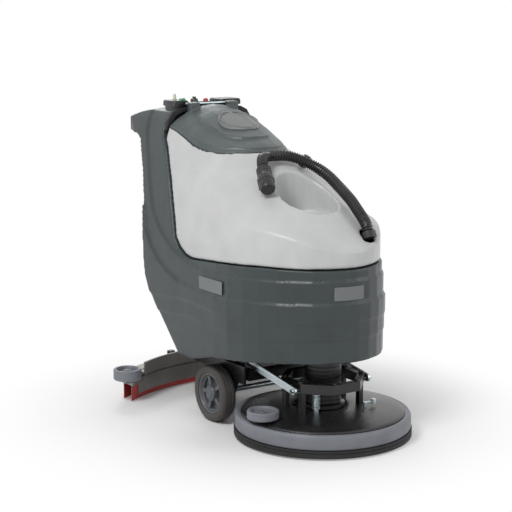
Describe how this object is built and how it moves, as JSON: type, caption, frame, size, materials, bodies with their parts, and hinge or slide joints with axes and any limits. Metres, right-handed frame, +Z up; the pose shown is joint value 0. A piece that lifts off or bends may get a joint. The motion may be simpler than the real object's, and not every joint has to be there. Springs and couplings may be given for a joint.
{
  "type": "walk-behind floor scrubber",
  "caption": "Walk-behind wet and dry floor scrubber with a disc brush deck, ribbed lower tank, pale recovery tank with a lid and drain hose, and a curved rear squeegee.",
  "frame": {"origin": "middle of the machine's footprint on the floor", "axes": "+Z up, -Y towards the brush deck (front), +Y towards the operator, -X is the machine's right side"},
  "size_m": [0.812, 1.289, 1.09],
  "materials": {
    "badge": "satin",
    "battery": "dull black case",
    "black": "satin",
    "bristle": "bristle",
    "bumper": "satin",
    "cream": "translucent",
    "frame": "satin powder coat",
    "green": "gloss",
    "hub": "satin",
    "lidGrey": "satin moulded plastic",
    "motorCase": "satin black case",
    "plate": "cast",
    "red": "satin",
    "rubber": "matt",
    "silver": "smooth moulded plastic",
    "slate": "satin moulded plastic",
    "tyre": "matt",
    "zinc": "zinc plated"
  },
  "bodies": {
    "chassis": {"chassis_frame": "frame", "wheel_axle": "zinc", "solution_tank": "slate", "battery_right": "battery", "battery_left": "battery", "control_console": "black", "key_switch": "black", "column_seal": "rubber", "level_tube": "cream", "level_tube_clip": "black", "level_tube_elbow": "black", "side_plate_right": "badge", "side_plate_left": "badge", "front_plate": "badge"},
    "wheel_right": {"wheel_tyre_right": "tyre", "wheel_hub_right": "hub"},
    "wheel_left": {"wheel_tyre_left": "tyre", "wheel_hub_left": "hub"},
    "caster_fork": {"caster_fork": "zinc"},
    "caster_wheel": {"caster_wheel": "tyre"},
    "deck_arms": {"deck_arm_right": "zinc", "deck_arm_left": "zinc"},
    "deck": {"deck_cover": "frame", "deck_bumper": "bumper", "deck_skirt": "rubber", "motor_bracket": "frame", "brush_motor": "motorCase", "deck_adjuster": "zinc", "brush_release_latch": "zinc", "deck_roller_pin": "zinc"},
    "deck_roller": {"deck_roller": "bumper"},
    "brush": {"brush_block": "hub", "brush_bristles": "bristle", "brush_drive_shaft": "zinc"},
    "recovery_tank": {"recovery_tank": "silver", "drain_hose": "black", "drain_hose_cap": "black", "drain_hose_outlet": "black", "hose_clip": "black"},
    "lid": {"lid": "lidGrey", "lid_badge": "badge", "lid_hinge_pin": "zinc", "vacuum_motor": "hub"},
    "squeegee_arm": {"squeegee_arm": "frame"},
    "squeegee": {"squeegee_body": "plate", "squeegee_swivel": "zinc", "squeegee_blade_front": "red", "squeegee_blade_rear": "red", "clamp_knob_right": "black", "clamp_knob_left": "black", "suction_cuff": "rubber"},
    "squeegee_roller_right": {"squeegee_roller_right": "bumper"},
    "squeegee_roller_left": {"squeegee_roller_left": "bumper"},
    "squeegee_lever": {"squeegee_lever": "black"},
    "deck_pedal": {"deck_pedal": "zinc"},
    "drive_bail": {"drive_bail": "black"},
    "start_button": {"start_button": "green"},
    "stop_button": {"stop_button": "red"},
    "flow_knob": {"flow_knob": "cream"}
  },
  "joints": [
    {"name": "wheel_spin_right", "type": "hinge", "parent": "chassis", "child": "wheel_right", "pos_m": [-0.2175, -0.0225, 0.0976], "axis": [1, 0, 0], "continuous": true},
    {"name": "wheel_spin_left", "type": "hinge", "parent": "chassis", "child": "wheel_left", "pos_m": [0.2175, -0.0225, 0.0976], "axis": [1, 0, 0], "continuous": true},
    {"name": "caster_swivel", "type": "hinge", "parent": "chassis", "child": "caster_fork", "pos_m": [0, 0.2275, 0.1], "axis": [0, 0, 1], "continuous": true},
    {"name": "caster_roll", "type": "hinge", "parent": "caster_fork", "child": "caster_wheel", "pos_m": [0, 0.2555, 0.038], "axis": [1, 0, 0], "continuous": true},
    {"name": "deck_lift", "type": "hinge", "parent": "chassis", "child": "deck_arms", "pos_m": [0, -0.1125, 0.222], "axis": [-1, 0, 0], "range_deg": [0, 10]},
    {"name": "deck_level", "type": "hinge", "parent": "deck_arms", "child": "deck", "pos_m": [0, -0.3935, 0.179], "axis": [-1, 0, 0], "range_deg": [-10, 0]},
    {"name": "deck_roller_spin", "type": "hinge", "parent": "deck", "child": "deck_roller", "pos_m": [-0.248, -0.3605, 0.11], "axis": [0, 0, 1], "continuous": true},
    {"name": "brush_spin", "type": "hinge", "parent": "deck", "child": "brush", "pos_m": [0, -0.3485, 0.05], "axis": [0, 0, 1], "continuous": true},
    {"name": "recovery_tank_tip", "type": "hinge", "parent": "chassis", "child": "recovery_tank", "pos_m": [0.273, -0.0225, 0.58], "axis": [0, 1, 0], "range_deg": [0, 60]},
    {"name": "lid_open", "type": "hinge", "parent": "recovery_tank", "child": "lid", "pos_m": [0, 0.3395, 1.057], "axis": [-1, 0, 0], "range_deg": [0, 65]},
    {"name": "squeegee_lift", "type": "hinge", "parent": "chassis", "child": "squeegee_arm", "pos_m": [0, 0.3155, 0.168], "axis": [1, 0, 0], "range_deg": [0, 18]},
    {"name": "squeegee_swing", "type": "hinge", "parent": "squeegee_arm", "child": "squeegee", "pos_m": [0, 0.3825, 0.15], "axis": [0, 0, 1], "range_deg": [-10, 10]},
    {"name": "squeegee_roller_spin_right", "type": "hinge", "parent": "squeegee", "child": "squeegee_roller_right", "pos_m": [-0.356, 0.3455, 0.1], "axis": [0, 0, 1], "continuous": true},
    {"name": "squeegee_roller_spin_left", "type": "hinge", "parent": "squeegee", "child": "squeegee_roller_left", "pos_m": [0.356, 0.3455, 0.1], "axis": [0, 0, 1], "continuous": true},
    {"name": "squeegee_lever_turn", "type": "hinge", "parent": "chassis", "child": "squeegee_lever", "pos_m": [-0.074, 0.3545, 0.56], "axis": [1, 0, 0], "range_deg": [0, 36]},
    {"name": "deck_pedal_press", "type": "hinge", "parent": "chassis", "child": "deck_pedal", "pos_m": [0.19, 0.1995, 0.178], "axis": [-1, 0, 0], "range_deg": [0, 16]},
    {"name": "drive_bail_squeeze", "type": "hinge", "parent": "chassis", "child": "drive_bail", "pos_m": [0, 0.5375, 0.936], "axis": [1, 0, 0], "range_deg": [0, 12], "stiffness_Nm_per_rad": 1.5, "springref_deg": -17.19},
    {"name": "start_button_press", "type": "slide", "parent": "chassis", "child": "start_button", "axis": [0, 0, -1], "range_m": [0, 0.003], "stiffness_N_per_m": 300, "springref_m": -0.001},
    {"name": "stop_button_press", "type": "slide", "parent": "chassis", "child": "stop_button", "axis": [0, 0, -1], "range_m": [0, 0.003], "stiffness_N_per_m": 300, "springref_m": -0.001},
    {"name": "flow_knob_turn", "type": "hinge", "parent": "chassis", "child": "flow_knob", "pos_m": [-0.112, 0.4075, 1.07], "axis": [0, 0, 1], "range_deg": [0, 270]}
  ],
  "couplings": [
    {"joint": "deck_level", "follows": "deck_lift", "ratio": -1},
    {"joint": "deck_pedal_press", "follows": "deck_lift", "ratio": 1.6},
    {"joint": "squeegee_lever_turn", "follows": "squeegee_lift", "ratio": 2}
  ]
}
